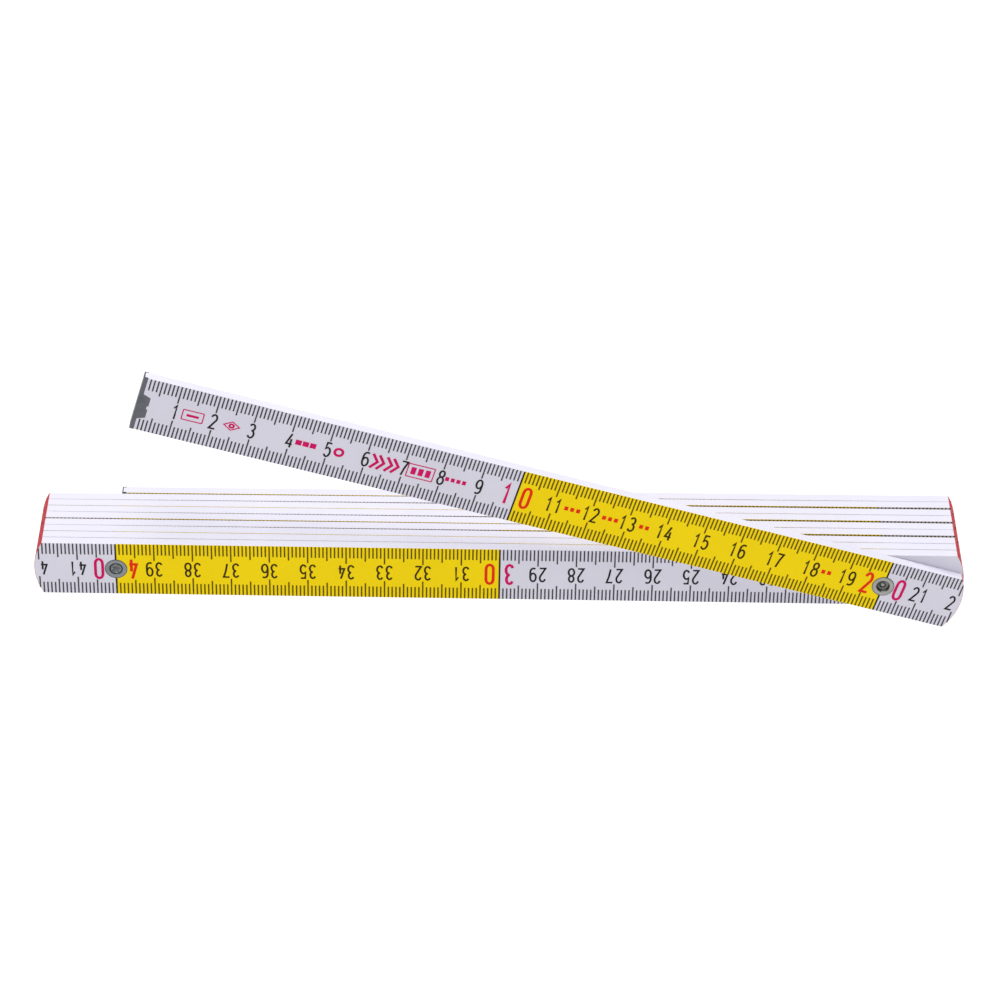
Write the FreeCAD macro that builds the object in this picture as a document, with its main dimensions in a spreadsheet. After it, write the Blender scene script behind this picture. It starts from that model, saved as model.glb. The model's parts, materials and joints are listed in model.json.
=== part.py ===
import FreeCAD, Part
import math
import os

import Sketcher

# A two metre folding rule: ten wooden links on nine riveted steel joints.
# X runs along the folded rule, Y through the stack from the first link to the last, and Z across the links.
# Each link has its own frame: the origin is its right-hand pivot on its rear face, and its front is at -Y.

Vector = FreeCAD.Vector

# Driving dimensions in millimetres, and an angle in degrees.
DIMENSIONS = {
    "link_width": 16.0,
    "link_thickness": 2.7,
    "pivot_spacing": 200.0,
    "tail_length": 21.3,
    "end_radius": 16.0,
    "corner_round": 0.6,
    "edge_round": 0.1,
    "joint_gap": 0.14,
    "narrow_gap": 0.04,
    "middle_gap": 0.34,
    "wide_gap": 0.66,
    "first_link_swing": 15.8,
    "rivet_radius": 2.1,
    "rivet_wall": 0.25,
    "head_overhang": 0.77,
    "head_height": 0.03,
    "head_sink": 0.25,
    "head_bevel": 0.1,
    "recess_fit": 0.1,
    "dish_slope": 0.45,
    "dish_depth": 1.0,
    "bump_radius": 0.6,
    "bump_height": 0.3,
    "running_clearance": 0.05,
    "head_clearance": 0.04,
    "plate_length": 24.0,
    "plate_width": 11.0,
    "plate_corner": 2.5,
    "plate_thickness": 0.5,
    "plate_fit": 0.05,
    "detent_inset": 1.1,
    "detent_radius": 0.5,
    "detent_height": 0.05,
    "detent_fit": 0.1,
    "dimple_depth": 0.15,
    "cap_sheet": 0.3,
    "cap_strip": 1.1,
    "cap_reach": 3.1,
    "cap_root": 7.6,
    "cap_tip": 6.0,
    "cap_drop": 0.8,
    "cap_notch_width": 1.0,
    "cap_notch_depth": 0.4,
    "cap_fit": 0.03,
}

LINK_COUNT = 10
TOUCH = 0.001

# How loosely each joint folds: the gap between the rivet heads that face each other at its open end.
FOLDED_GAPS = ["wide_gap", "narrow_gap", "narrow_gap", "wide_gap", "middle_gap"]
FOLDED_GAPS += ["wide_gap", "narrow_gap", "wide_gap", "middle_gap"]


def turns_on_rivet(link):
    """Odd links turn on the rivets, and even links hold them."""
    return link % 2 == 1


def folded_cells():
    """Formulas for the depth of each link's rear face at its right pivot, and for its splay.

    A joint brings its links together at its own end, which is the right one for odd joints. At the
    other end they stay apart by the rivet heads between them.
    """
    cells = {"depth_1": "=-joint_gap", "splay_1": "=lean_1"}
    for joint, gap in enumerate(FOLDED_GAPS, start=1):
        cells[f"open_{joint}"] = f"=2 * head_height + head_clearance + {gap}"
        cells[f"lean_{joint}"] = f"=asin((open_{joint} - joint_gap) / pivot_spacing)"
        at_right = f"open_{joint}" if joint % 2 == 0 else "joint_gap"
        sign = "+" if joint % 2 == 0 else "-"
        cells[f"depth_{joint + 1}"] = f"=depth_{joint} + link_thickness + {at_right}"
        cells[f"splay_{joint + 1}"] = f"=splay_{joint} {sign} lean_{joint}"
    return cells


doc = FreeCAD.newDocument("folding_rule")
sheet = doc.addObject("Spreadsheet::Sheet", "sizes")
ORIGIN_CELLS = ["origin_x", "origin_y", "origin_z"]
CELLS = {alias: str(size) for alias, size in DIMENSIONS.items()}
CELLS.update({alias: "0" for alias in ORIGIN_CELLS})
CELLS.update(folded_cells())
for row, alias in enumerate(CELLS, start=1):
    sheet.set(f"A{row}", alias)
    sheet.setAlias(f"B{row}", alias)
for row, content in enumerate(CELLS.values(), start=1):
    sheet.set(f"B{row}", content)
doc.recompute()

# Expressions that several pieces share.
REAR = "0"
FRONT = "sizes.link_thickness"
RIGHT_PIVOT = "0"
LEFT_PIVOT = "-sizes.pivot_spacing"
HALF_WIDTH = "sizes.link_width / 2"
GRIP = "(2 * sizes.link_thickness + sizes.joint_gap + sizes.head_clearance)"
HEAD_RADIUS = "(sizes.rivet_radius + sizes.head_overhang)"
DISH_RADIUS = "(sizes.rivet_radius - sizes.rivet_wall)"
DETENT_CIRCLE = "(sizes.plate_width / 2 - sizes.detent_inset)"
CAPPED_END = "-sizes.pivot_spacing + sizes.cap_sheet"


def new_body(label):
    body = doc.addObject("PartDesign::Body", label)
    body.Label = label
    return body


def new_sketch(body, name, role="XZ_Plane", forward=REAR):
    """A sketch on one of the body's origin planes, moved forward by an expression."""
    sketch = body.newObject("Sketcher::SketchObject", f"{body.Label}_{name}")
    plane = [feature for feature in body.Origin.OriginFeatures if feature.Role == role][0]
    sketch.AttachmentSupport = [(plane, "")]
    sketch.MapMode = "FlatFace"
    sketch.setExpression("AttachmentOffset.Base.z", f"({forward}) * 1 mm")
    return sketch


def drive(sketch, kind, targets, name, expression):
    """Adds a dimension to a sketch as it is drawn, and binds it to the sheet."""
    if kind == "Radius":
        drawn = sketch.Geometry[targets[0]].Radius
    else:
        point = sketch.getPoint(*targets[2:])
        drawn = point.x if kind == "DistanceX" else point.y
    index = sketch.addConstraint(Sketcher.Constraint(kind, *targets, drawn))
    sketch.renameConstraint(index, name)
    sketch.setExpression(f"Constraints.{name}", expression)


def place_point(sketch, geometry, point, name, across, up):
    drive(sketch, "DistanceX", (-1, 1, geometry, point), f"{name}_across", across)
    drive(sketch, "DistanceY", (-1, 1, geometry, point), f"{name}_up", up)


def polygon_sketch(sketch, corners):
    """A closed polygon whose corners are pairs of expressions."""
    count = len(corners)
    starts = [
        Vector(math.cos(math.tau * turn / count), math.sin(math.tau * turn / count), 0)
        for turn in range(count)
    ]
    for index in range(count):
        sketch.addGeometry(Part.LineSegment(starts[index], starts[(index + 1) % count]), False)
    for index in range(count):
        sketch.addConstraint(Sketcher.Constraint("Coincident", index, 2, (index + 1) % count, 1))
    for index, (across, up) in enumerate(corners):
        place_point(sketch, index, 1, f"corner_{index}", across, up)
    return sketch


def circle_sketch(sketch, circles):
    """Circles whose centres and radii are expressions."""
    for index, (across, up, radius) in enumerate(circles):
        sketch.addGeometry(Part.Circle(Vector(index, index, 0), Vector(0, 0, 1), 1.0), False)
        place_point(sketch, index, 3, f"centre_{index}", across, up)
        drive(sketch, "Radius", (index,), f"radius_{index}", radius)
    return sketch


def pad(body, sketch, length):
    feature = body.newObject("PartDesign::Pad", f"{sketch.Name}_pad")
    feature.Profile = sketch
    feature.setExpression("Length", length)
    sketch.Visibility = False
    return feature


def pocket(body, sketch, length, from_rear=False):
    """Cuts rearwards from the sketch, or forwards if the sketch lies on the rear face."""
    before = solid_volume(body)
    feature = body.newObject("PartDesign::Pocket", f"{sketch.Name}_cut")
    feature.Profile = sketch
    feature.setExpression("Length", length)
    feature.Reversed = from_rear
    sketch.Visibility = False
    if not solid_volume(body) < before:
        raise RuntimeError(f"{feature.Name} cuts nothing")
    return feature


def solid_volume(body):
    doc.recompute()
    return body.Shape.Volume


def fillet(body, base, name, edges, radius):
    feature = body.newObject("PartDesign::Fillet", f"{body.Label}_{name}")
    feature.Base = (base, edges)
    feature.setExpression("Radius", radius)
    doc.recompute()
    return feature


def round_edges(body, base):
    """Rounds the corners of the tails and then the edges of both faces, but not a square end."""
    doc.recompute()
    front = -sheet.link_thickness
    square_end = -sheet.pivot_spacing + sheet.cap_sheet

    def chosen(shape, wanted):
        names = []
        for index, edge in enumerate(shape.Edges, start=1):
            on_the_end = all(abs(vertex.X - square_end) < TOUCH for vertex in edge.Vertexes)
            if wanted(edge) and not on_the_end:
                names.append(f"Edge{index}")
        return names

    def crosses_the_link(edge):
        return abs(edge.BoundBox.YLength - sheet.link_thickness) < TOUCH

    def lies_on_a_face(edge):
        depth = edge.CenterOfMass.y
        return edge.BoundBox.YLength < TOUCH and min(abs(depth), abs(depth - front)) < TOUCH

    corners = fillet(body, base, "corners", chosen(base.Shape, crosses_the_link), "sizes.corner_round")
    return fillet(body, corners, "edges", chosen(corners.Shape, lies_on_a_face), "sizes.edge_round")


def end_arc(centre_x, facing):
    """The arc of a tail, as it is first drawn: facing is 1 to the right and -1 to the left."""
    reach = math.asin(sheet.link_width / 2 / sheet.end_radius)
    circle = Part.Circle(Vector(centre_x, 0, 0), Vector(0, 0, 1), sheet.end_radius)
    if facing > 0:
        return Part.ArcOfCircle(circle, -reach, reach)
    return Part.ArcOfCircle(circle, math.pi - reach, math.pi + reach)


def tie_arc(sketch, arc, name, centre_across):
    place_point(sketch, arc, 3, f"{name}_centre", centre_across, "0")
    drive(sketch, "Radius", (arc,), f"{name}_radius", "sizes.end_radius")


def link_outline(body, capped):
    """The flat shape of a link: two straight edges, a round tail, and a second tail or a square end."""
    sketch = new_sketch(body, "outline")
    half = sheet.link_width / 2
    offset = sheet.tail_length - sheet.end_radius
    right = end_arc(offset, 1)
    left = end_arc(-sheet.pivot_spacing - offset, -1)
    end_x = -sheet.pivot_spacing + sheet.cap_sheet
    top_left = Vector(end_x, half, 0) if capped else left.StartPoint
    bottom_left = Vector(end_x, -half, 0) if capped else left.EndPoint
    top, bottom, tail, end = range(4)
    sketch.addGeometry(Part.LineSegment(right.EndPoint, top_left), False)
    sketch.addGeometry(Part.LineSegment(bottom_left, right.StartPoint), False)
    sketch.addGeometry(right, False)
    sketch.addGeometry(Part.LineSegment(top_left, bottom_left) if capped else left, False)
    corners = [(top, 2, end, 1), (end, 2, bottom, 1), (bottom, 2, tail, 1), (tail, 2, top, 1)]
    for corner in corners:
        sketch.addConstraint(Sketcher.Constraint("Coincident", *corner))
    sketch.addConstraint(Sketcher.Constraint("Horizontal", top))
    sketch.addConstraint(Sketcher.Constraint("Horizontal", bottom))
    drive(sketch, "DistanceY", (-1, 1, top, 1), "top_edge", HALF_WIDTH)
    drive(sketch, "DistanceY", (-1, 1, bottom, 1), "bottom_edge", f"-({HALF_WIDTH})")
    tie_arc(sketch, tail, "right", "sizes.tail_length - sizes.end_radius")
    if capped:
        sketch.addConstraint(Sketcher.Constraint("Vertical", end))
        drive(sketch, "DistanceX", (-1, 1, end, 1), "square_end", CAPPED_END)
    else:
        tie_arc(sketch, end, "left", "-sizes.pivot_spacing - sizes.tail_length + sizes.end_radius")
    return sketch


def plate_corners(pivot, grow):
    """A steel joint plate's outline: a strip with cut corners about its pivot."""
    half_length = f"(sizes.plate_length / 2 + {grow})"
    half_width = f"(sizes.plate_width / 2 + {grow})"
    short_length = f"({half_length} - sizes.plate_corner)"
    short_width = f"({half_width} - sizes.plate_corner)"
    corners = []
    for side_x, side_y, long_first in ((1, 1, False), (-1, 1, True), (-1, -1, False), (1, -1, True)):
        near_side = (half_length, short_width)
        near_edge = (short_length, half_width)
        order = (near_edge, near_side) if long_first else (near_side, near_edge)
        for across, up in order:
            corners.append((f"{pivot} + {side_x} * {across}", f"{side_y} * {up}"))
    return corners


def cap_corners(grow):
    """A metal end cap's outline: a strip over the whole end and, below the middle, a notched tongue."""
    start = "-sizes.pivot_spacing"
    strip = f"{start} + sizes.cap_strip + {grow}"
    tip = f"{start} + sizes.cap_reach + {grow}"
    notch = f"{tip} - sizes.cap_notch_depth"
    half_root = f"(sizes.cap_root / 2 + {grow})"
    half_tip = f"(sizes.cap_tip / 2 + {grow})"
    half_notch = f"(sizes.cap_notch_width / 2 - {grow})"
    tongue = [(strip, half_root), (tip, half_tip), (tip, half_notch), (notch, half_notch)]
    below = [(across, f"-{reach} - sizes.cap_drop") for across, reach in tongue]
    above = [(across, f"{reach} - sizes.cap_drop") for across, reach in tongue[::-1]]
    foot = [(start, f"-({HALF_WIDTH})"), (strip, f"-({HALF_WIDTH})")]
    return foot + below + above + [(strip, HALF_WIDTH), (start, HALF_WIDTH)]


def hole_radius(link):
    if turns_on_rivet(link):
        return "sizes.rivet_radius + sizes.running_clearance"
    return "sizes.rivet_radius"


def link_joints(link):
    """The joints of a link, as (joint number, pivot, whether the neighbour is behind it)."""
    right_joint = link if turns_on_rivet(link) else link - 1
    left_joint = link - 1 if turns_on_rivet(link) else link
    joints = [(right_joint, RIGHT_PIVOT, turns_on_rivet(link))]
    if 1 <= left_joint < LINK_COUNT:
        joints.append((left_joint, LEFT_PIVOT, not turns_on_rivet(link)))
    return joints


def is_capped(link):
    return link in (1, LINK_COUNT)


def make_link(link):
    """A wooden link with its plates' recesses, its rivets' holes and seats, and the rebates of any cap."""
    body = new_body(f"link_{link}")
    blank = pad(body, link_outline(body, is_capped(link)), "sizes.link_thickness")
    round_edges(body, blank)
    for joint, pivot, at_rear in link_joints(link):
        recess = new_sketch(body, f"recess_{joint}", forward=REAR if at_rear else FRONT)
        polygon_sketch(recess, plate_corners(pivot, "sizes.plate_fit"))
        pocket(body, recess, "sizes.plate_thickness", from_rear=at_rear)
        hole = new_sketch(body, f"hole_{joint}", forward=FRONT)
        circle_sketch(hole, [(pivot, "0", hole_radius(link))])
        pocket(body, hole, "sizes.link_thickness")
        seat = new_sketch(body, f"seat_{joint}", forward=FRONT if at_rear else REAR)
        circle_sketch(seat, [(pivot, "0", f"{HEAD_RADIUS} + sizes.recess_fit")])
        pocket(body, seat, "sizes.head_sink", from_rear=not at_rear)
    if is_capped(link):
        for side, at_rear in (("rear", True), ("front", False)):
            rebate = new_sketch(body, f"rebate_{side}", forward=REAR if at_rear else FRONT)
            polygon_sketch(rebate, cap_corners("sizes.cap_fit"))
            pocket(body, rebate, "sizes.cap_sheet", from_rear=at_rear)
    return body


def make_plate(link, joint, pivot, at_rear):
    """A steel plate let into a link at a joint: the front one has dimples and the rear one pips."""
    body = new_body(f"front_plate_{joint}" if at_rear else f"rear_plate_{joint}")
    inner = REAR if at_rear else "sizes.link_thickness - sizes.plate_thickness"
    outline = polygon_sketch(new_sketch(body, "outline", forward=inner), plate_corners(pivot, "0"))
    pad(body, outline, "sizes.plate_thickness")
    front = "sizes.plate_thickness" if at_rear else FRONT
    hole = circle_sketch(new_sketch(body, "hole", forward=front), [(pivot, "0", hole_radius(link))])
    pocket(body, hole, "sizes.plate_thickness")
    radius = "sizes.detent_radius + sizes.detent_fit" if at_rear else "sizes.detent_radius"
    marks = [
        (f"{pivot} + {DETENT_CIRCLE}", "0", radius),
        (pivot, DETENT_CIRCLE, radius),
        (f"{pivot} - {DETENT_CIRCLE}", "0", radius),
        (pivot, f"-{DETENT_CIRCLE}", radius),
    ]
    detents = circle_sketch(new_sketch(body, "detents", forward=REAR if at_rear else FRONT), marks)
    if at_rear:
        pocket(body, detents, "sizes.dimple_depth", from_rear=True)
    else:
        pad(body, detents, "sizes.detent_height")
    return body


def head_profile(face, outward):
    """Half the section of a rivet head, from the bump in its dish to the shank; outward is + or -."""
    inward = "-" if outward == "+" else "+"
    top = f"{face} {outward} sizes.head_height"
    floor = f"{top} {inward} sizes.dish_depth"
    underside = f"{face} {inward} sizes.head_sink"
    return [
        ("0", f"{floor} {outward} sizes.bump_height"),
        ("sizes.bump_radius", floor),
        (f"{DISH_RADIUS} - sizes.dish_slope", floor),
        (DISH_RADIUS, top),
        (f"{HEAD_RADIUS} - sizes.head_bevel", top),
        (HEAD_RADIUS, f"{top} {inward} sizes.head_bevel"),
        (HEAD_RADIUS, underside),
        ("sizes.rivet_radius", underside),
    ]


def make_rivet(joint, pivot, front_face):
    """A rivet with a dished head at each end; front_face is level with the wood around its front head."""
    body = new_body(f"rivet_{joint}")
    sketch = new_sketch(body, "profile", role="XY_Plane")
    front_head = head_profile(front_face, "-")
    rear_head = head_profile(f"{front_face} + {GRIP}", "+")
    polygon_sketch(sketch, front_head + rear_head[::-1])
    sketch.setExpression("AttachmentOffset.Base.x", f"({pivot}) * 1 mm")
    feature = body.newObject("PartDesign::Revolution", f"{body.Label}_turned")
    feature.Profile = sketch
    feature.ReferenceAxis = (sketch, ["V_Axis"])
    feature.Angle = 360.0
    return body


def make_cap(link):
    """A steel cap folded round the square end of the first or last link, flush with the wood."""
    body = new_body("zero_end_cap" if link == 1 else "far_end_cap")
    face = polygon_sketch(new_sketch(body, "face"), cap_corners("0"))
    pad(body, face, "sizes.link_thickness")
    inside = new_sketch(body, "inside", role="XY_Plane", forward=f"-({HALF_WIDTH})")
    inner_front = "-sizes.link_thickness + sizes.cap_sheet"
    beyond = "-sizes.pivot_spacing + 2 * sizes.cap_reach"
    polygon_sketch(
        inside,
        [
            (CAPPED_END, inner_front),
            (beyond, inner_front),
            (beyond, "-sizes.cap_sheet"),
            (CAPPED_END, "-sizes.cap_sheet"),
        ],
    )
    pocket(body, inside, "sizes.link_width", from_rear=True)
    return body


def link_placement(link):
    """The folded place of a link; the first one is swung up from it."""
    base = (
        f"vector(sizes.pivot_spacing / 2 - sizes.origin_x; sizes.depth_{link} - sizes.origin_y;"
        " -sizes.origin_z)"
    )
    swing = "sizes.first_link_swing" if link == 1 else "0"
    turned = f"rotation(vector(0; 1; 0); {swing}) * rotation(vector(0; 0; 1); sizes.splay_{link})"
    return f"placement({base}; {turned})"


def make_rule():
    """Every piece, with the number of the link that carries it."""
    pieces = []
    for link in range(1, LINK_COUNT + 1):
        pieces.append((make_link(link), link))
        for joint, pivot, at_rear in link_joints(link):
            pieces.append((make_plate(link, joint, pivot, at_rear), link))
            if turns_on_rivet(link):
                continue
            front_face = f"-({FRONT})" if at_rear else f"-{GRIP}"
            pieces.append((make_rivet(joint, pivot, front_face), link))
        if is_capped(link):
            pieces.append((make_cap(link), link))
    return pieces


def stand_on_base(bodies):
    """Puts the origin at the middle of the rule's box, at its lowest point."""
    doc.recompute()
    box = Part.makeCompound([body.Shape for body in bodies]).optimalBoundingBox(False, False)
    corner = (box.Center.x, box.Center.y, box.ZMin)
    for alias, value in zip(ORIGIN_CELLS, corner):
        sheet.set(alias, str(value))
    doc.recompute()


def check_and_write(bodies):
    for item in doc.Objects:
        if "Invalid" in item.State or "Error" in item.State:
            raise RuntimeError(f"{item.Label} failed: {item.State}")
    for body in bodies:
        if body.Shape.isNull() or not body.Shape.isValid() or len(body.Shape.Solids) != 1:
            raise RuntimeError(f"{body.Label} is not one valid solid")
    os.makedirs("parts", exist_ok=True)
    for body in bodies:
        body.Shape.exportStep(os.path.join("parts", f"{body.Label}.step"))


pieces = make_rule()
for piece, carrier in pieces:
    piece.setExpression("Placement", link_placement(carrier))
bodies = [piece for piece, carrier in pieces]
stand_on_base(bodies)
check_and_write(bodies)
print(len(bodies), "pieces; pivots at height", -sheet.origin_z)
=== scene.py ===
"""The looks of a two-metre folding rule: ten painted wooden links, their rivets, plates and end caps.

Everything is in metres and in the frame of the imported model. The links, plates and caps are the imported
nodes with finishes of their own. The scales, the numbers and the marks are thin films of ink on the faces
of the links, and each rivet is turned anew with a finer head.
"""

import json
import math

import bpy
import numpy as np
from mathutils import Matrix, Vector


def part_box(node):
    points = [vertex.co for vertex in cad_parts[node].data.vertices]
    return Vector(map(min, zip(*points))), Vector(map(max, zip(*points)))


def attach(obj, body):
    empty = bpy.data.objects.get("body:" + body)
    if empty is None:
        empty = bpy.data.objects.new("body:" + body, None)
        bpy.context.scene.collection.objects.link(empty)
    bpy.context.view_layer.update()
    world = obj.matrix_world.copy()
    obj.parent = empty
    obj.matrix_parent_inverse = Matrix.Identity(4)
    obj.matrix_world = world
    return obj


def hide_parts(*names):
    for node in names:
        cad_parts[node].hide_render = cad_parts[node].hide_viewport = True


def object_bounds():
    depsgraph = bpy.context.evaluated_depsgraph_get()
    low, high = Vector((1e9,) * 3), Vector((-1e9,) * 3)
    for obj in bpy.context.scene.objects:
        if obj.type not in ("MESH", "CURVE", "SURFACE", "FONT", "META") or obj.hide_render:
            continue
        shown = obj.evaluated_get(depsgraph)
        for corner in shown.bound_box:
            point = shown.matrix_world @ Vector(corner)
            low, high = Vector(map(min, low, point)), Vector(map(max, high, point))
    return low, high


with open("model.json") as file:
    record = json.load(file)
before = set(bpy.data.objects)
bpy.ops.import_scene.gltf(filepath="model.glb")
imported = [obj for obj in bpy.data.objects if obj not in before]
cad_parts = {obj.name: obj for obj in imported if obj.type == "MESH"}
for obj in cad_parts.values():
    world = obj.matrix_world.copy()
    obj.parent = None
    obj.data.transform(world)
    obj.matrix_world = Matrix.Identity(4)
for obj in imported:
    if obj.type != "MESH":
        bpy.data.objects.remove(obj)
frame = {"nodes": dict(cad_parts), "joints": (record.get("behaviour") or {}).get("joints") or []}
cad_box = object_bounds()
nodes = frame["nodes"]
joints = {joint["name"]: joint for joint in frame["joints"]}

MM = 0.001
LINKS = 10

# Sizes of the links, in millimetres, as they were made.
PIVOT_SPACING = 200.0
LINK_THICKNESS = 2.7
HALF_WIDTH = 8.0
ARC_RADIUS = 16.0
ARC_CENTRE_FROM_PIVOT = 5.3
TAIL_LENGTH = 21.3
HEAD_RADIUS = 2.87
HEAD_HEIGHT = 0.03
HEAD_SINK = 0.25
DISH_RADIUS = 1.85
DISH_DEPTH = 1.0
SHANK_RADIUS = 2.1
RIVET_GRIP = 5.58
FACE_DEPTH = 0.04
RED_DEPTH = 0.16
RED_FADE = 0.1

# The pressed star in the dull rivets' front heads, in millimetres, and how finely rivets are turned.
STAR_POINTS = 5
STAR_RADIUS = 1.1
STAR_FULL_RADIUS = 0.6
STAR_DEPTH = 0.16
MIDDLE_RISE = 0.04
AROUND = 60
SHARP_ANGLE = 38

# The printed scale, in millimetres.
DECIMETRE = 100.0
TICK_WIDTH = 0.38
MILLIMETRE_TICK = 3.5
FIVE_TICK = 4.5
CENTIMETRE_TICK = 5.3
EDGE_INSET = 0.1
SHORTEST_TICK = 0.4
CAP_END_GAP = 1.5
BOUNDARY_WIDTH = 0.45
INK_PROUD = 0.03
INK_SUNK = 0.01
STROKE_STEP = 0.004

# The numbers, in millimetres.
SMALL_DIGITS = {"width": 2.0, "height": 4.75, "gap": 0.45, "stroke": 0.5}
LARGE_DIGITS = {"width": 2.65, "height": 6.85, "gap": 0.8, "stroke": 0.76}
LARGE_CLEARANCE = 1.25
RIVET_CLEARANCE = 3.1
END_MARGIN = 0.25

TICK_INK = (0.060, 0.055, 0.064)
BLACK_INK = (0.022, 0.018, 0.020)
TICK_ON_YELLOW = (0.105, 0.070, 0.003)
BLACK_ON_YELLOW = (0.040, 0.027, 0.004)
MAGENTA_INK = (0.57, 0.006, 0.12)
RED_INK = (0.72, 0.030, 0.006)
WHITE_PAINT = (0.70, 0.685, 0.78)
YELLOW_PAINT = (0.90, 0.68, 0.004)
END_RED = (0.50, 0.002, 0.012)
BRUSHED_SCALE = (600.0, 600.0, 60.0)


# ---------------------------------------------------------------- nodes written as sums


class Value:
    """A number, colour or vector that a node gives, for use in sums."""

    def __init__(self, graph, socket):
        self.graph = graph
        self.socket = socket

    def maths(self, operation, *numbers):
        node = self.graph.node("ShaderNodeMath", {"operation": operation}, dict(enumerate(numbers)))
        return Value(self.graph, node.outputs[0])

    def __add__(self, other):
        return self.maths("ADD", self, other)

    __radd__ = __add__

    def __sub__(self, other):
        return self.maths("SUBTRACT", self, other)

    def __rsub__(self, other):
        return self.maths("SUBTRACT", other, self)

    def __mul__(self, other):
        return self.maths("MULTIPLY", self, other)

    def __truediv__(self, other):
        return self.maths("DIVIDE", self, other)

    def __gt__(self, other):
        return self.maths("GREATER_THAN", self, other)

    def __lt__(self, other):
        return self.maths("LESS_THAN", self, other)

    def larger(self, other):
        return self.maths("MAXIMUM", self, other)

    def smaller(self, other):
        return self.maths("MINIMUM", self, other)

    def root(self):
        return self.maths("SQRT", self)

    def left_over(self, divisor):
        return self.maths("FLOORED_MODULO", self, divisor)

    def held(self):
        """The value kept from 0 to 1."""
        return self.larger(0.0).smaller(1.0)


class Graph:
    """Builds the nodes of one tree."""

    def __init__(self, tree):
        self.tree = tree

    def node(self, kind, settings=None, inputs=None):
        """A node of that type: its settings are made first, then its sockets get values or links."""
        made = self.tree.nodes.new(kind)
        for name, setting in (settings or {}).items():
            setattr(made, name, setting)
        for key, value in (inputs or {}).items():
            if isinstance(value, Value):
                self.tree.links.new(value.socket, made.inputs[key])
            elif isinstance(value, bpy.types.NodeSocket):
                self.tree.links.new(value, made.inputs[key])
            else:
                made.inputs[key].default_value = value
        return made

    def value(self, kind, settings=None, inputs=None, output=0):
        return Value(self, self.node(kind, settings, inputs).outputs[output])

    def noise(self, vector, scale, detail=2.0, roughness=0.5):
        return self.value(
            "ShaderNodeTexNoise",
            None,
            {"Vector": vector, "Scale": scale, "Detail": detail, "Roughness": roughness},
        )

    def blend(self, mask, first, second):
        """The colour first where the mask is 0 and second where it is 1."""
        colours = {0: mask}
        for key, colour in ((6, first), (7, second)):
            colours[key] = colour if isinstance(colour, Value) else (*colour, 1.0)
        return self.value("ShaderNodeMix", {"data_type": "RGBA"}, colours, output=2)


def new_material(name):
    """An empty material with its graph, its output and its Principled shader."""
    material = bpy.data.materials.new(name)
    material.use_nodes = True
    material.node_tree.nodes.clear()
    graph = Graph(material.node_tree)
    shader = graph.node("ShaderNodeBsdfPrincipled")
    graph.node("ShaderNodeOutputMaterial", None, {"Surface": shader.outputs[0]})
    return material, graph, shader


def finish_shader(graph, shader, inputs):
    for key, value in inputs.items():
        if isinstance(value, Value):
            graph.tree.links.new(value.socket, shader.inputs[key])
        else:
            shader.inputs[key].default_value = value


# ---------------------------------------------------------------- where each link lies


def link_swing(link):
    """How far a link is turned up about its right-hand rivet, in radians."""
    return -math.radians(joints["joint_1"]["range_deg"][0]) if link == 1 else 0.0


def face_plane(link, side):
    """The outward direction of a link's front (side -1) or rear (side 1) face, and a point on it."""
    widest = None
    for polygon in nodes[f"link_{link}"].data.polygons:
        if polygon.normal.y * side > 0.99 and (widest is None or polygon.area > widest.area):
            widest = polygon
    return widest.normal.copy(), widest.center.copy()


def counts_rightwards(link):
    return link % 2 == 1


def rivet_axis(joint):
    """The middle of a joint's rivet, and the way it runs towards the rear."""
    axis = Vector(joints[f"joint_{joint}"]["axis"])
    return Vector(joints[f"joint_{joint}"]["pos_m"]), axis if axis.y > 0 else -axis


def link_frame(link, side):
    """A link's right-hand pivot on one of its faces, with the link's own right, up and outward directions."""
    outward, on_face = face_plane(link, side)
    swing = link_swing(link)
    up = Vector((math.sin(swing), 0, math.cos(swing)))
    right = up.cross(outward) * -side
    right.normalize()
    pivot, axis = rivet_axis(link if counts_rightwards(link) else link - 1)
    depth = (on_face - pivot).dot(outward) / axis.dot(outward)
    return pivot + axis * depth, right, up, outward


def print_place(link, side):
    """The place of a face's printing: x runs along the scale from the first pivot, z out of the face."""
    pivot, right, _, outward = link_frame(link, side)
    along = right if counts_rightwards(link) else -right
    start = pivot - right * PIVOT_SPACING * MM if counts_rightwards(link) else pivot
    text_up = outward.cross(along)
    place = Matrix((along, text_up, outward)).transposed().to_4x4()
    place.translation = start
    return place


# ---------------------------------------------------------------- meshes


def new_piece(name, mesh, body, materials):
    for material in materials:
        mesh.materials.append(material)
    piece = bpy.data.objects.new(name, mesh)
    bpy.context.scene.collection.objects.link(piece)
    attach(piece, body)
    return piece


def evaluated_mesh(tree, settings):
    """The plain mesh that a Geometry Nodes tree makes with those inputs."""
    holder = bpy.data.objects.new("holder", bpy.data.meshes.new("holder"))
    bpy.context.scene.collection.objects.link(holder)
    modifier = holder.modifiers.new("nodes", "NODES")
    modifier.node_group = tree
    for item in tree.interface.items_tree:
        if item.item_type == "SOCKET" and item.name in settings:
            modifier[item.identifier] = settings[item.name]
    depsgraph = bpy.context.evaluated_depsgraph_get()
    mesh = bpy.data.meshes.new_from_object(holder.evaluated_get(depsgraph), depsgraph=depsgraph)
    holder.modifiers.remove(modifier)
    bpy.data.objects.remove(holder)
    return mesh


def merged_mesh(name, parts):
    """One mesh out of several (vertices, faces, material number) parts."""
    vertices, faces, numbers = [], [], []
    for part_vertices, part_faces, number in parts:
        base = len(vertices)
        vertices.extend(part_vertices)
        faces.extend([tuple(base + corner for corner in face) for face in part_faces])
        numbers.extend([number] * len(part_faces))
    mesh = bpy.data.meshes.new(name)
    mesh.from_pydata(vertices, [], faces)
    mesh.polygons.foreach_set("material_index", numbers)
    mesh.update()
    return mesh


# ---------------------------------------------------------------- ticks of the scale


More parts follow.
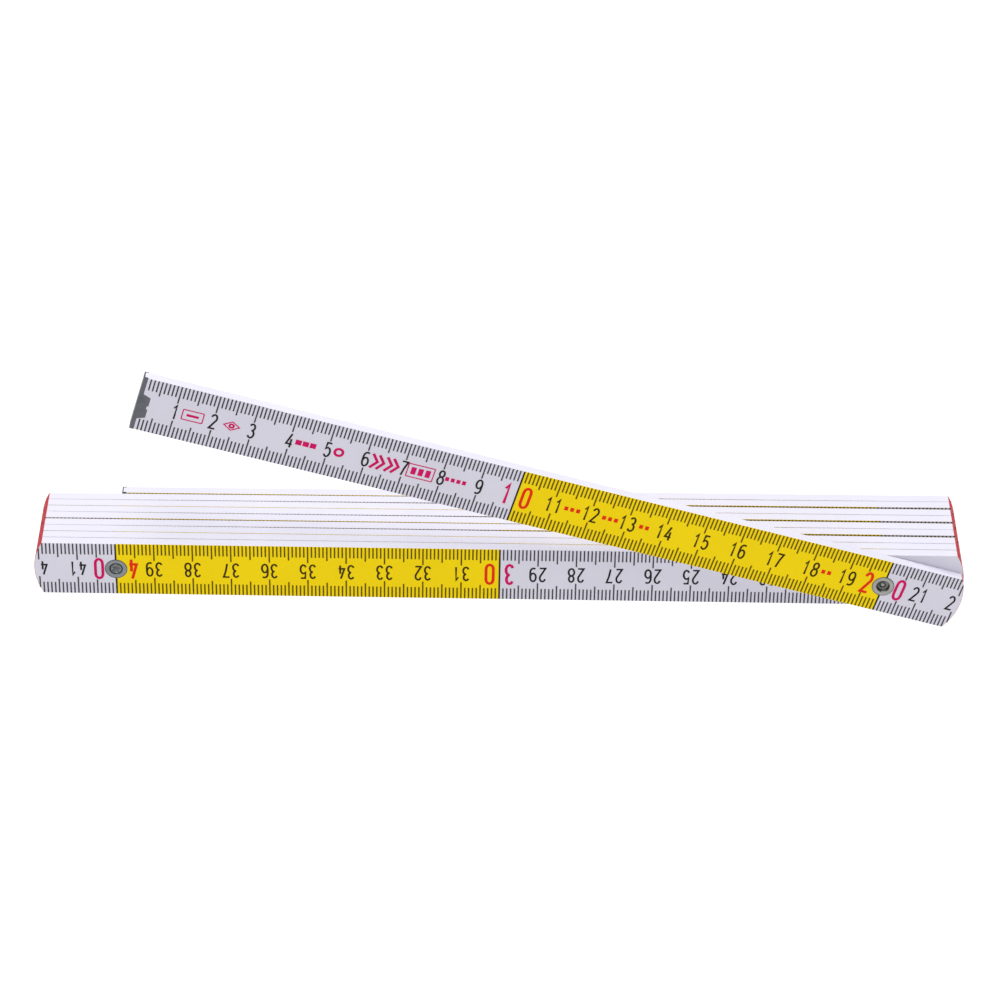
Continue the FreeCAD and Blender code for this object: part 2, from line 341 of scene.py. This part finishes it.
def tick_tree():
    """A comb of ticks along both long edges of a face, cut to the rounded end of the link."""
    tree = bpy.data.node_groups.new("scale_ticks", "GeometryNodeTree")
    graph = Graph(tree)
    sockets = {
        "First": "NodeSocketInt",
        "Count": "NodeSocketInt",
        "Tick width": "NodeSocketFloat",
        "Millimetre length": "NodeSocketFloat",
        "Five length": "NodeSocketFloat",
        "Centimetre length": "NodeSocketFloat",
        "Shortest": "NodeSocketFloat",
        "Half width": "NodeSocketFloat",
        "Edge inset": "NodeSocketFloat",
        "Arc centre": "NodeSocketFloat",
        "Arc side": "NodeSocketFloat",
        "Arc radius": "NodeSocketFloat",
        "Proud": "NodeSocketFloat",
        "Sunk": "NodeSocketFloat",
    }
    for name, kind in sockets.items():
        tree.interface.new_socket(name, in_out="INPUT", socket_type=kind)
    tree.interface.new_socket("Geometry", in_out="OUTPUT", socket_type="NodeSocketGeometry")
    group = graph.node("NodeGroupInput")
    given = {name: Value(graph, group.outputs[name]) for name in sockets}

    number = graph.value("GeometryNodeInputIndex") + given["First"]
    tenth = number.left_over(10.0) < 0.5
    fifth = (number.left_over(5.0) < 0.5) * (1 - tenth)
    boundary = number.left_over(DECIMETRE) < 0.5
    reach = given["Half width"] - (
        given["Millimetre length"] * (1 - tenth) * (1 - fifth)
        + given["Five length"] * fifth
        + given["Centimetre length"] * tenth
    )
    past = ((number - given["Arc centre"]) * given["Arc side"]).larger(0.0)
    half_chord = (given["Arc radius"] * given["Arc radius"] - past * past).larger(0.0).root()
    thickness = given["Proud"] + given["Sunk"]
    height = (given["Proud"] - given["Sunk"]) * 0.5
    line = graph.value(
        "GeometryNodeMeshLine",
        {"mode": "OFFSET"},
        {"Count": given["Count"], "Offset": (1.0, 0.0, 0.0)},
    )
    bar = graph.value("GeometryNodeMeshCube", None, {"Size": (1.0, 1.0, 1.0)})
    combs = []
    outer = given["Half width"].smaller(half_chord) - given["Edge inset"]
    length = outer - reach
    for edge in (1.0, -1.0):
        place = graph.value(
            "ShaderNodeCombineXYZ", None, {0: number, 1: (outer + reach) * 0.5 * edge, 2: height}
        )
        points = graph.value("GeometryNodeSetPosition", None, {"Geometry": line, "Position": place})
        size = graph.value("ShaderNodeCombineXYZ", None, {0: given["Tick width"], 1: length, 2: thickness})
        combs.append(
            graph.value(
                "GeometryNodeInstanceOnPoints",
                None,
                {
                    "Points": points,
                    "Selection": (length > given["Shortest"]) * (1 - boundary),
                    "Instance": bar,
                    "Scale": size,
                },
            )
        )
    joined = graph.node("GeometryNodeJoinGeometry")
    for comb in combs:
        tree.links.new(comb.socket, joined.inputs[0])
    solid = graph.value("GeometryNodeRealizeInstances", None, {0: joined.outputs[0]})
    graph.node("NodeGroupOutput", None, {0: solid})
    return tree


def printed_span(link, side):
    """The first and last millimetre printed on a face, from the link's first pivot."""
    if side < 0:
        first = CAP_END_GAP if link == 1 else 0.0
        last = PIVOT_SPACING - CAP_END_GAP if link == LINKS else PIVOT_SPACING + TAIL_LENGTH
    else:
        first = CAP_END_GAP if link == 1 else -TAIL_LENGTH
        last = PIVOT_SPACING - CAP_END_GAP if link == LINKS else PIVOT_SPACING
    return first, last


def tail_side(link, side):
    """1 where the printed span ends in a far tail, -1 where it starts in a near tail, 0 for a square end."""
    if side < 0:
        return 0 if link == LINKS else 1
    return 0 if link == 1 else -1


def on_yellow(side, at):
    """Whether that place on the scale of a face is on the yellow paint."""
    return DECIMETRE < at < PIVOT_SPACING or (at < 0 and side > 0)


def face_ticks(tree, link, side, tick_inks):
    """The ticks of a face, in the first ink on white paint and in the second on yellow."""
    first, last = printed_span(link, side)
    first_tick = math.ceil(first)
    tail = tail_side(link, side)
    arc_centre = PIVOT_SPACING + ARC_CENTRE_FROM_PIVOT if tail > 0 else -ARC_CENTRE_FROM_PIVOT
    mesh = evaluated_mesh(
        tree,
        {
            "First": first_tick,
            "Count": math.floor(last) - first_tick + 1,
            "Tick width": TICK_WIDTH,
            "Millimetre length": MILLIMETRE_TICK,
            "Five length": FIVE_TICK,
            "Centimetre length": CENTIMETRE_TICK,
            "Shortest": SHORTEST_TICK,
            "Half width": HALF_WIDTH,
            "Edge inset": EDGE_INSET,
            "Arc centre": arc_centre,
            "Arc side": float(tail),
            "Arc radius": ARC_RADIUS,
            "Proud": INK_PROUD,
            "Sunk": INK_SUNK,
        },
    )
    mesh.materials.clear()
    for ink in tick_inks:
        mesh.materials.append(ink)
    for polygon in mesh.polygons:
        polygon.material_index = int(on_yellow(side, polygon.center.x))
    mesh.transform(print_place(link, side) @ Matrix.Scale(MM, 4))
    return mesh


# ---------------------------------------------------------------- strokes and numbers


def arc(centre, radii, start, end, steps):
    """Points along part of an oval; the angles are in degrees."""
    angles = np.radians(np.linspace(start, end, steps))
    return [(centre[0] + radii[0] * math.cos(a), centre[1] + radii[1] * math.sin(a)) for a in angles]


def digit_strokes():
    """The strokes of each digit in a cell that is 1 wide and 1 high, as (points, is it a loop)."""
    six_loop = arc((0.5, 0.31), (0.5, 0.31), 0, 330, 12)
    six_stem = arc((0.56, 0.72), (0.56, 0.28), 55, 180, 5) + [(0.0, 0.34)]
    turned = [[(1 - x, 1 - y) for x, y in stroke] for stroke in (six_loop, six_stem)]
    five_top = [(0.92, 1.0), (0.16, 1.0), (0.08, 0.56)]
    return {
        "0": [(arc((0.5, 0.78), (0.5, 0.22), 0, 180, 7) + arc((0.5, 0.22), (0.5, 0.22), 180, 360, 7), True)],
        "1": [([(0.2, 0.76), (0.57, 1.0), (0.57, 0.0)], False)],
        "2": [(arc((0.5, 0.74), (0.46, 0.26), 165, -25, 9) + [(0.0, 0.0), (1.0, 0.0)], False)],
        "3": [
            (arc((0.46, 0.76), (0.44, 0.24), 155, -90, 8), False),
            (arc((0.48, 0.27), (0.5, 0.27), 90, -155, 8), False),
        ],
        "4": [([(0.62, 1.0), (0.0, 0.25), (1.0, 0.25)], False), ([(0.72, 0.62), (0.72, 0.0)], False)],
        "5": [(five_top + arc((0.46, 0.33), (0.5, 0.33), 120, -150, 9), False)],
        "6": [(six_loop, True), (six_stem, False)],
        "7": [([(0.0, 1.0), (1.0, 1.0), (0.62, 0.55), (0.36, 0.0)], False)],
        "8": [
            (arc((0.5, 0.77), (0.43, 0.23), 0, 330, 11), True),
            (arc((0.5, 0.27), (0.5, 0.27), 0, 330, 12), True),
        ],
        "9": [(turned[0], True), (turned[1], False)],
    }


DIGITS = digit_strokes()


def stroke_slab(points, closed, width, lift=0.0):
    """A thin closed slab of ink along a line of points, in millimetres."""
    line = [np.array(point) for point in points]
    count = len(line)
    rails = []
    for i, point in enumerate(line):
        before = line[i - 1] if closed or i > 0 else None
        after = line[(i + 1) % count] if closed or i < count - 1 else None
        directions = [point - before] if before is not None else []
        directions += [after - point] if after is not None else []
        directions = [step / np.linalg.norm(step) for step in directions]
        mean = sum(directions)
        mean = mean / np.linalg.norm(mean)
        across = np.array((-mean[1], mean[0]))
        stretch = 1 / max(mean.dot(directions[0]), 0.5)
        rails.append((point + across * width / 2 * stretch, point - across * width / 2 * stretch))
    vertices = []
    for left, right in rails:
        vertices += [(*left, INK_PROUD + lift), (*right, INK_PROUD + lift)]
        vertices += [(*right, -INK_SUNK), (*left, -INK_SUNK)]
    faces = []
    for i in range(count if closed else count - 1):
        here, there = 4 * i, 4 * ((i + 1) % count)
        for j in range(4):
            k = (j + 1) % 4
            faces.append((here + j, here + k, there + k, there + j))
    if not closed:
        faces.append((3, 2, 1, 0))
        last = 4 * (count - 1)
        faces.append((last, last + 1, last + 2, last + 3))
    return vertices, faces


def bar_slab(left, bottom, right, top):
    """A thin closed rectangle of ink."""
    middle = (bottom + top) / 2
    return stroke_slab([(left, middle), (right, middle)], False, top - bottom)


def number_width(text, digits):
    return digits["width"] * len(text) + digits["gap"] * (len(text) - 1)


def number_slabs(text, left, digits, span):
    """The strokes of a number from its left edge, without any digit that would pass an end of the span."""
    width, stroke = digits["width"], digits["stroke"]
    slabs = []
    for digit in text:
        if left > span[0] and left + width < span[1]:
            for order, (points, closed) in enumerate(DIGITS[digit]):
                placed = [
                    (left + stroke / 2 + x * (width - stroke), (y - 0.5) * (digits["height"] - stroke))
                    for x, y in points
                ]
                slabs.append(stroke_slab(placed, closed, stroke, order * STROKE_STEP))
        left += width + digits["gap"]
    return slabs


def rounded_box(centre, width, height, radius, steps):
    """The outline of a box with round corners."""
    points = []
    for turn, (x, y) in enumerate(((1, 1), (-1, 1), (-1, -1), (1, -1))):
        corner = (centre[0] + x * (width / 2 - radius), centre[1] + y * (height / 2 - radius))
        points += arc(corner, (radius, radius), 90 * turn, 90 * turn + 90, steps)
    return points


INKS = {"black": 0, "magenta": 1, "red": 2, "black on yellow": 3}


def face_numbers(link, side):
    """All numbers of a face: black at each centimetre and large ones astride each decimetre."""
    first, last = printed_span(link, side)
    span = (first + END_MARGIN, last - END_MARGIN)
    edge = HALF_WIDTH - EDGE_INSET
    half = BOUNDARY_WIDTH / 2
    rim = HEAD_RADIUS + 0.1
    parts = []

    def add(slabs, ink):
        parts.extend([(vertices, faces, INKS[ink]) for vertices, faces in slabs])

    for step in range(math.ceil(first / 10), math.floor(last / 10) + 1):
        at = step * 10.0
        total = int(round(PIVOT_SPACING * (link - 1) + at))
        text = str(total // 10)
        if total % DECIMETRE:
            left = at - number_width(text, SMALL_DIGITS) / 2
            ink = "black on yellow" if on_yellow(side, at) else "black"
            add(number_slabs(text, left, SMALL_DIGITS, span), ink)
            continue
        if total <= 0 or total >= PIVOT_SPACING * LINKS:
            continue
        at_rivet = total % PIVOT_SPACING == 0
        if at_rivet:
            for low, high in ((rim, edge), (-edge, -rim)):
                add([bar_slab(at - half, low, at + half, high)], "black")
        else:
            add([bar_slab(at - half, -edge, at + half, edge)], "black")
        clear = RIVET_CLEARANCE if at_rivet else LARGE_CLEARANCE
        before, after = text[:-1], text[-1]
        before_ink, after_ink = ("red", "magenta") if at_rivet else ("magenta", "red")
        left = at - clear - number_width(before, LARGE_DIGITS)
        add(number_slabs(before, left, LARGE_DIGITS, span), before_ink)
        add(number_slabs(after, at + clear, LARGE_DIGITS, span), after_ink)
    return parts


def first_link_marks():
    """Plain frames, bars, chevrons and a ring between the first numbers, in millimetres along the scale."""
    parts = []

    def add(slabs, ink="magenta"):
        parts.extend([(vertices, faces, INKS[ink]) for vertices, faces in slabs])

    thin = 0.3
    add([stroke_slab(rounded_box((14.6, 0.0), 5.4, 3.0, 0.15, 2), True, thin)])
    add([bar_slab(13.0, -0.35, 16.2, 0.35)])
    add([stroke_slab([(26.8, 0.0), (24.75, 1.3), (22.7, 0.0), (24.75, -1.3)], True, thin)])
    add([stroke_slab(rounded_box((24.75, 0.0), 1.1, 1.0, 0.45, 3), True, 0.5)])
    for start in (41.5, 43.4, 45.3):
        add([bar_slab(start, -0.75, start + 1.6, 0.75)])
    add([stroke_slab(rounded_box((52.9, 0.0), 2.1, 2.1, 1.0, 4), True, 0.7)])
    for start in (61.5, 65.3):
        add([stroke_slab([(start, 2.2), (start + 1.6, 0.0), (start, -2.2)], False, 0.75)])
        add([stroke_slab([(start + 1.7, 2.2), (start + 3.3, 0.0), (start + 1.7, -2.2)], False, 0.75)])
    add([stroke_slab(rounded_box((74.5, 0.0), 6.9, 4.0, 0.15, 2), True, thin)])
    for start in (72.0, 73.9, 75.8):
        add([bar_slab(start, -1.1, start + 1.3, 1.1)])
    for start in (81.1, 82.6, 84.1, 85.6):
        add([bar_slab(start, -0.6, start + 1.0, 0.6)])
    for start in (113.0, 114.6, 116.2, 123.2, 124.8, 126.4, 133.2, 134.8, 183.0, 184.6):
        add([bar_slab(start, -0.6, start + 1.0, 0.6)], "red")
    return parts


# ---------------------------------------------------------------- rivets


def head_section(star):
    """Half a rivet head's section from its middle out, as (radius, height above the face, painted shade)."""
    floor = HEAD_HEIGHT - DISH_DEPTH
    # The third number of each point is painted shade: dark at the dish's lip and darkest round the head's
    # outer edge, where it meets the wood.
    rim = [
        (DISH_RADIUS - 0.12, HEAD_HEIGHT - 0.12, 0.6),
        (DISH_RADIUS - 0.04, HEAD_HEIGHT - 0.03, 0.1),
        (DISH_RADIUS + 0.08, HEAD_HEIGHT, 0.0),
        (HEAD_RADIUS - 0.22, HEAD_HEIGHT, 0.0),
        (HEAD_RADIUS - 0.1, HEAD_HEIGHT - 0.01, 0.3),
        (HEAD_RADIUS, HEAD_HEIGHT - 0.1, 1.0),
        (HEAD_RADIUS, -HEAD_SINK, 1.0),
        (SHANK_RADIUS, -HEAD_SINK, 1.0),
    ]
    # In the middle the painted shade is darkest on the plain dish's floor and walls, and at the star head's
    # centre and outer trough.
    if star:
        middle = [(0.28, -0.30, 0.5), (0.62, -0.16, 0.1), (0.98, -0.12, 0.0), (1.12, -0.02, 0.0)]
        middle += [(1.3, 0.0, 0.1), (1.46, -0.1, 0.5), (1.58, -0.26, 0.7)]
    else:
        middle = [(0.22, floor + 0.42, 0.0), (0.5, floor + 0.34, 0.1), (0.68, floor + 0.12, 0.6)]
        middle += [(0.85, floor, 0.85), (1.2, floor, 0.85), (DISH_RADIUS - 0.36, floor + 0.06, 0.9)]
        middle += [(DISH_RADIUS - 0.24, floor + 0.24, 0.9)]
    return middle + rim


def ring_faces(ring):
    """The faces between one ring of a turned shape and the next."""
    faces = []
    for step in range(AROUND):
        here, after = ring * AROUND + step, ring * AROUND + (step + 1) % AROUND
        faces.append((here, here + AROUND, after + AROUND, after))
    return faces


def rivet_mesh(name, joint, star_front):
    """A turned rivet along a joint's axis, with painted shade in its hollows that is darker on one side of
    its dishes.

    A star front has five dimples pressed into its middle.
    """
    profile = [(radius, -RIVET_GRIP / 2 - height, shade_level) for radius, height, shade_level in head_section(star_front)]
    profile += [(radius, RIVET_GRIP / 2 + height, shade_level) for radius, height, shade_level in head_section(False)[::-1]]
    vertices, faces, painted_shade = [], [], []
    for radius, depth, shade_level in profile:
        for step in range(AROUND):
            angle = math.tau * step / AROUND
            pressed = 0.0
            if star_front and radius < STAR_RADIUS and depth < 0:
                wave = 0.5 + 0.5 * math.cos(STAR_POINTS * angle)
                pressed = STAR_DEPTH * wave * min(radius / STAR_FULL_RADIUS, 1.0)
            vertices.append((radius * math.cos(angle), depth + pressed, radius * math.sin(angle)))
            # Painted shade as if light fell from the lower right: inside the dish it is darkest on the upper
            # left, and the star's dimples are darkened by their depth.
            shaded_side = 0.7 + 0.3 * math.cos(angle - 0.75 * math.pi) if radius < DISH_RADIUS else 1.0
            painted_shade.append(min(1.0, shade_level * shaded_side + 2.5 * pressed))
    for ring in range(len(profile) - 1):
        faces += ring_faces(ring)
    for ring, toward in ((0, 1), (len(profile) - 1, -1)):
        centre = len(vertices)
        vertices.append((0.0, profile[ring][1] - toward * MIDDLE_RISE, 0.0))
        painted_shade.append(profile[ring][2])
        for step in range(AROUND):
            triangle = (centre, ring * AROUND + step, ring * AROUND + (step + 1) % AROUND)
            faces.append(triangle if toward > 0 else triangle[::-1])
    mesh = bpy.data.meshes.new(name)
    mesh.from_pydata(vertices, [], faces)
    mesh.update()
    mesh.polygons.foreach_set("use_smooth", [True] * len(faces))
    mesh.set_sharp_from_angle(angle=math.radians(SHARP_ANGLE))
    mesh.attributes.new("painted_shade", "FLOAT", "POINT").data.foreach_set("value", painted_shade)
    low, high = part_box(f"rivet_{joint}")
    lean = Vector((0, 1, 0)).rotation_difference(rivet_axis(joint)[1]).to_matrix().to_4x4()
    mesh.transform(Matrix.Translation((low + high) / 2) @ lean @ Matrix.Scale(MM, 4))
    return mesh


# ---------------------------------------------------------------- finishes


def object_point(graph):
    return graph.value("ShaderNodeTexCoord", None, None, output=3)


def ink_material(name, colour):
    """Printing ink: nearly one colour, a little worn and uneven."""
    material, graph, shader = new_material(name)
    point = object_point(graph)
    uneven = graph.noise(point, 900.0, detail=3.0)
    faint = ((uneven - 0.5) * 1.6).held()
    paler = tuple(min(1.0, 1.5 * c + 0.004) for c in colour)
    finish_shader(
        graph,
        shader,
        {
            "Base Color": graph.blend(faint, colour, paler),
            "Roughness": 0.45 + uneven * 0.2,
            "Specular IOR Level": 0.05,
        },
    )
    return material


def paint_material(link):
    """White paint on wood, with the yellow second decimetre on the faces and red dipped ends."""
    material, graph, shader = new_material(f"painted_wood_{link}")
    pivot, right, up, outward = link_frame(link, -1)
    inward = -outward
    local = Matrix((right, inward, up)).transposed().to_4x4()
    local.translation = pivot
    to_local = local.inverted()
    point = graph.value(
        "ShaderNodeMapping",
        {"vector_type": "POINT"},
        {
            "Vector": object_point(graph),
            "Location": to_local.translation,
            "Rotation": to_local.to_euler("XYZ"),
        },
    )
    split = graph.node("ShaderNodeSeparateXYZ", None, {0: point})
    across = Value(graph, split.outputs[0]) / MM
    depth = Value(graph, split.outputs[1]) / MM
    height = Value(graph, split.outputs[2]) / MM
    scale_at = across + PIVOT_SPACING if counts_rightwards(link) else across * -1.0

    front = depth < FACE_DEPTH
    rear = depth > LINK_THICKNESS - FACE_DEPTH
    second = (scale_at > DECIMETRE) * (scale_at < PIVOT_SPACING)
    near_tail = (scale_at < 0.0) * rear
    yellow = (second * (front + rear) + near_tail).held()

    def dipped(sign, centre):
        """1 on the round end that faces that way, 0 elsewhere."""
        out = (across - centre) * sign
        distance = (out * out + height * height).root()
        return ((distance - (ARC_RADIUS - RED_DEPTH)) / RED_FADE).held() * (out > 0.0)

    ends = dipped(1.0, ARC_CENTRE_FROM_PIVOT)
    if link not in (1, LINKS):
        ends = (ends + dipped(-1.0, -PIVOT_SPACING - ARC_CENTRE_FROM_PIVOT)).held()

    cloudy = graph.noise(point, 45.0, detail=3.0)
    speckle = graph.noise(point, 1600.0)
    stretched = graph.value("ShaderNodeMapping", None, {"Vector": point, "Scale": (40.0, 900.0, 900.0)})
    grain = graph.noise(stretched, 1.0, detail=4.0, roughness=0.6)
    greyer = tuple(0.93 * c for c in WHITE_PAINT)
    white = graph.blend(((cloudy - 0.35) * 1.5).held(), greyer, WHITE_PAINT)
    white = graph.blend(((speckle - 0.62) * 1.2).held() * 0.5, white, (0.55, 0.54, 0.60))
    warm = (YELLOW_PAINT[0] * 0.95, YELLOW_PAINT[1] * 0.92, YELLOW_PAINT[2])
    bright = graph.blend(((cloudy - 0.35) * 1.5).held(), warm, YELLOW_PAINT)
    paint = graph.blend(yellow, white, bright)
    paint = graph.blend(ends, paint, END_RED)
    bump = graph.value(
        "ShaderNodeBump",
        None,
        {"Strength": 0.35, "Distance": 0.02 * MM, "Height": grain * 0.7 + speckle * 0.3},
    )
    finish_shader(
        graph,
        shader,
        {
            "Base Color": paint,
            "Roughness": 0.38 + cloudy * 0.12 + grain * 0.08,
            "Normal": bump,
            "Specular IOR Level": 0.05,
        },
    )
    return material


def steel_material(name, colour, roughness):
    """Steel with fine rubbed lines and duller spots, dark wherever the mesh carries painted shade."""
    material, graph, shader = new_material(name)
    point = object_point(graph)
    along = graph.value("ShaderNodeMapping", None, {"Vector": point, "Scale": BRUSHED_SCALE})
    lines = graph.noise(along, 8.0, detail=3.0)
    spots = graph.noise(point, 350.0)
    # The attribute read here is painted shade from the rivet meshes: it darkens the steel in their dishes,
    # dimples and edges, and plates and caps lack it.
    painted_shade = graph.value("ShaderNodeAttribute", {"attribute_name": "painted_shade"}, None, output=2)
    duller = tuple(0.7 * c for c in colour)
    tint = graph.blend(((spots - 0.45) * 2.0).held(), colour, duller)
    tint = graph.blend(painted_shade, tint, tuple(0.06 * c for c in colour))
    bump = graph.value("ShaderNodeBump", None, {"Strength": 0.3, "Distance": 0.01 * MM, "Height": lines})
    finish_shader(
        graph,
        shader,
        {
            "Base Color": tint,
            "Metallic": 1.0,
            "Roughness": roughness + (lines - 0.5) * 0.25 + (spots - 0.5) * 0.2 + painted_shade * 0.2,
            "Normal": bump,
        },
    )
    return material


def assign(node_name, material):
    for holder in nodes[node_name].material_slots:
        holder.material = material


# ---------------------------------------------------------------- the rule


inks = [
    ink_material("black_ink", BLACK_INK),
    ink_material("magenta_ink", MAGENTA_INK),
    ink_material("red_ink", RED_INK),
    ink_material("black_ink_on_yellow", BLACK_ON_YELLOW),
]
tick_inks = [ink_material("tick_ink", TICK_INK), ink_material("tick_ink_on_yellow", TICK_ON_YELLOW)]
rivet_steel = steel_material("nickelled_rivets", (0.31, 0.31, 0.30), 0.26)
dull_rivet_steel = steel_material("dull_rivets", (0.21, 0.225, 0.24), 0.30)
plate_steel = steel_material("rolled_plates", (0.52, 0.52, 0.53), 0.34)
cap_steel = steel_material("dark_caps", (0.12, 0.125, 0.14), 0.45)

ticks = tick_tree()
SIDES = {"front": -1, "rear": 1}
for link in range(1, LINKS + 1):
    body = f"link_{link}"
    assign(body, paint_material(link))
    for side_name, side in SIDES.items():
        new_piece(f"ticks_{side_name}_{link}", face_ticks(ticks, link, side, tick_inks), body, [])
        parts = face_numbers(link, side)
        if link == 1 and side < 0:
            parts += first_link_marks()
        mesh = merged_mesh(f"numbers_{side_name}_{link}", parts)
        mesh.transform(print_place(link, side) @ Matrix.Scale(MM, 4))
        new_piece(mesh.name, mesh, body, inks)

for joint in range(1, LINKS):
    assign(f"front_plate_{joint}", plate_steel)
    assign(f"rear_plate_{joint}", plate_steel)
    star = joint % 2 == 0
    mesh = rivet_mesh(f"turned_rivet_{joint}", joint, star)
    steel = dull_rivet_steel if star else rivet_steel
    rivet = new_piece(mesh.name, mesh, f"link_{joint + joint % 2}", [steel])
    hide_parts(f"rivet_{joint}")

for cap in ("zero_end_cap", "far_end_cap"):
    assign(cap, cap_steel)


# ---------------------------------------------------------------- floor, light and camera


def make_floor():
    """A plain pale floor under the lowest tail."""
    reach = 3.0
    mesh = bpy.data.meshes.new("floor")
    low = cad_box[0].z
    mesh.from_pydata(
        [(-reach, -reach, low), (reach, -reach, low), (reach, reach, low), (-reach, reach, low)],
        [],
        [(0, 1, 2, 3)],
    )
    floor = bpy.data.objects.new("floor", mesh)
    bpy.context.scene.collection.objects.link(floor)
    material, graph, shader = new_material("floor")
    finish_shader(
        graph,
        shader,
        {
            "Base Color": (0.2, 0.2, 0.2, 1.0),
            "Roughness": 0.9,
            "Emission Color": (1.0, 1.0, 1.0, 1.0),
            "Emission Strength": 0.9,
        },
    )
    mesh.materials.append(material)


def make_light(name, place, aim, size, power):
    data = bpy.data.lights.new(name, "AREA")
    data.shape = "DISK"
    data.size = size
    data.energy = power
    light = bpy.data.objects.new(name, data)
    light.location = place
    light.rotation_mode = "QUATERNION"
    light.rotation_quaternion = (Vector(aim) - Vector(place)).to_track_quat("-Z", "Y")
    bpy.context.scene.collection.objects.link(light)


def make_world(strength):
    world = bpy.data.worlds.new("studio")
    world.use_nodes = True
    background = world.node_tree.nodes["Background"]
    background.inputs["Color"].default_value = (1.0, 1.0, 1.0, 1.0)
    background.inputs["Strength"].default_value = strength
    bpy.context.scene.world = world


def make_camera():
    """A long lens, above and in front of the stack, rolled very slightly."""
    azimuth, elevation, roll = (math.radians(angle) for angle in (-0.635, 35.023, 1.205))
    across = (rivet_axis(1)[0].x + rivet_axis(2)[0].x) / 2
    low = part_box("link_2")[0]
    aim = Vector((across - 0.269 * MM, low.y, low.z + 31.718 * MM))
    distance = 1.0060
    level = math.cos(elevation)
    back = Vector((math.sin(azimuth) * level, -math.cos(azimuth) * level, math.sin(elevation)))
    data = bpy.data.cameras.new("camera")
    data.sensor_width = 36.0
    data.lens = 140.62
    data.clip_start = 0.05
    data.clip_end = 20.0
    camera = bpy.data.objects.new("camera", data)
    turn = (-back).to_track_quat("-Z", "Y").to_matrix() @ Matrix.Rotation(roll, 3, "Z")
    camera.matrix_world = Matrix.Translation(aim + back * distance) @ turn.to_4x4()
    bpy.context.scene.collection.objects.link(camera)
    bpy.context.scene.camera = camera


make_floor()
make_light("top_light", (0.0, 0.1, 1.5), (0.0, 0.0, 0.0), 1.6, 25.0)
make_light("front_light", (-0.6, -1.6, 0.9), (0.0, 0.0, 0.0), 1.2, 3.6)
make_world(0.45)
make_camera()
bpy.context.scene.view_settings.view_transform = "Standard"
